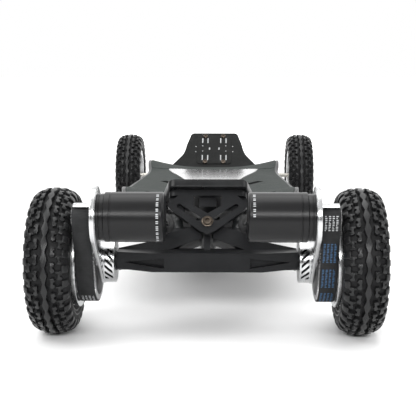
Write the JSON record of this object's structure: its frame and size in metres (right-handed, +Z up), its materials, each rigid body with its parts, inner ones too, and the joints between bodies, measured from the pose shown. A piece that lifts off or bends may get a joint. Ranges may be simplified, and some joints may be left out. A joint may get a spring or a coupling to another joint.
{
  "type": "electric skateboard",
  "caption": "All-terrain electric skateboard: concave deck with raised tips, steering trucks on inclined kingpins, knobbly air tyres and belt-drive motors at the rear.",
  "frame": {"origin": "on the ground, under the centre of the bounding box", "axes": "+Y along the board towards the nose (the end without motors), +X to the right seen from behind, +Z up"},
  "size_m": [0.47, 1.1982, 0.2116],
  "materials": {
    "deck_composite": "black carbon-look composite, satin",
    "grip_tape": "gritty dark grey grip tape",
    "gloss_panel": "deep gloss black",
    "enclosure_plastic": "fine textured black",
    "black_anodised": "black anodised aluminium, fine bead blast",
    "silver_alloy": "machined aluminium, satin",
    "steel": "brushed steel",
    "motor_black": "semi-gloss black",
    "rubber": "matt black",
    "tyre_rubber": "satin black rubber",
    "belt_rubber": "ribbed dark rubber",
    "urethane": "dark urethane",
    "battery_wrap": "blue heat-shrink wrap"
  },
  "bodies": {
    "deck": {"deck": "deck_composite", "rear_grip_tape": "grip_tape", "front_grip_tape": "grip_tape", "centre_panel": "gloss_panel", "enclosure_shell": "enclosure_plastic", "enclosure_gasket": "rubber", "battery_pack": "battery_wrap", "motor_controller": "silver_alloy", "charge_port": "steel", "rear_truck_base": "black_anodised", "rear_bolt_plate": "steel", "rear_kingpin": "steel", "rear_kingpin_nut": "steel", "rear_left_damper": "urethane", "rear_right_damper": "urethane", "front_truck_base": "black_anodised", "front_bolt_plate": "steel", "front_kingpin": "steel", "front_kingpin_nut": "steel", "front_left_damper": "urethane", "front_right_damper": "urethane", "left_motor_cable": "rubber", "right_motor_cable": "rubber"},
    "rear_hanger": {"rear_hanger": "black_anodised", "rear_axle": "steel", "rear_left_axle_nut": "steel", "rear_right_axle_nut": "steel", "left_motor_mount": "silver_alloy", "left_motor_housing": "motor_black", "left_motor_end_cap": "motor_black", "left_drive_belt": "belt_rubber", "right_motor_mount": "silver_alloy", "right_motor_housing": "motor_black", "right_motor_end_cap": "motor_black", "right_drive_belt": "belt_rubber"},
    "front_hanger": {"front_hanger": "black_anodised", "front_axle": "steel", "front_left_axle_nut": "steel", "front_right_axle_nut": "steel"},
    "rear_left_wheel": {"rear_left_tyre": "tyre_rubber", "rear_left_hub": "silver_alloy", "rear_left_bearing": "steel", "left_wheel_pulley": "silver_alloy"},
    "rear_right_wheel": {"rear_right_tyre": "tyre_rubber", "rear_right_hub": "silver_alloy", "rear_right_bearing": "steel", "right_wheel_pulley": "silver_alloy"},
    "front_left_wheel": {"front_left_tyre": "tyre_rubber", "front_left_hub": "silver_alloy", "front_left_bearing": "steel"},
    "front_right_wheel": {"front_right_tyre": "tyre_rubber", "front_right_hub": "silver_alloy", "front_right_bearing": "steel"},
    "left_rotor": {"left_motor_rotor": "steel", "left_motor_pulley": "steel"},
    "right_rotor": {"right_motor_rotor": "steel", "right_motor_pulley": "steel"},
    "power_button": {"power_button": "silver_alloy"},
    "charge_port_cap": {"charge_port_cap": "rubber"}
  },
  "joints": [
    {"name": "rear_steer", "type": "hinge", "parent": "deck", "child": "rear_hanger", "pos_m": [0, -0.46043, 0.14366], "axis": [0, -0.8192, 0.5736], "range_deg": [-18, 18], "stiffness_Nm_per_rad": 90, "deforming": ["rear_left_damper", "rear_right_damper", "left_motor_cable", "right_motor_cable"]},
    {"name": "front_steer", "type": "hinge", "parent": "deck", "child": "front_hanger", "pos_m": [0, 0.46843, 0.14366], "axis": [0, 0.8192, 0.5736], "range_deg": [-18, 18], "stiffness_Nm_per_rad": 90, "deforming": ["front_left_damper", "front_right_damper"]},
    {"name": "rear_left_wheel_spin", "type": "hinge", "parent": "rear_hanger", "child": "rear_left_wheel", "pos_m": [-0.2055, -0.491, 0.1], "axis": [1, 0, 0], "continuous": true},
    {"name": "rear_right_wheel_spin", "type": "hinge", "parent": "rear_hanger", "child": "rear_right_wheel", "pos_m": [0.2055, -0.491, 0.1], "axis": [1, 0, 0], "continuous": true},
    {"name": "front_left_wheel_spin", "type": "hinge", "parent": "front_hanger", "child": "front_left_wheel", "pos_m": [-0.2055, 0.499, 0.1], "axis": [1, 0, 0], "continuous": true},
    {"name": "front_right_wheel_spin", "type": "hinge", "parent": "front_hanger", "child": "front_right_wheel", "pos_m": [0.2055, 0.499, 0.1], "axis": [1, 0, 0], "continuous": true},
    {"name": "left_rotor_spin", "type": "hinge", "parent": "rear_hanger", "child": "left_rotor", "pos_m": [-0.1, -0.559, 0.1715], "axis": [1, 0, 0], "continuous": true},
    {"name": "right_rotor_spin", "type": "hinge", "parent": "rear_hanger", "child": "right_rotor", "pos_m": [0.1, -0.559, 0.1715], "axis": [1, 0, 0], "continuous": true},
    {"name": "power_button_press", "type": "slide", "parent": "deck", "child": "power_button", "axis": [-1, 0, 0], "range_m": [0, 0.0015], "stiffness_N_per_m": 400},
    {"name": "charge_cap_hinge", "type": "hinge", "parent": "deck", "child": "charge_port_cap", "pos_m": [0.1026, 0.154, 0.11962], "axis": [0, -1, 0], "range_deg": [0, 110]}
  ],
  "couplings": [
    {"joint": "left_rotor_spin", "follows": "rear_left_wheel_spin", "ratio": 4},
    {"joint": "right_rotor_spin", "follows": "rear_right_wheel_spin", "ratio": 4}
  ]
}
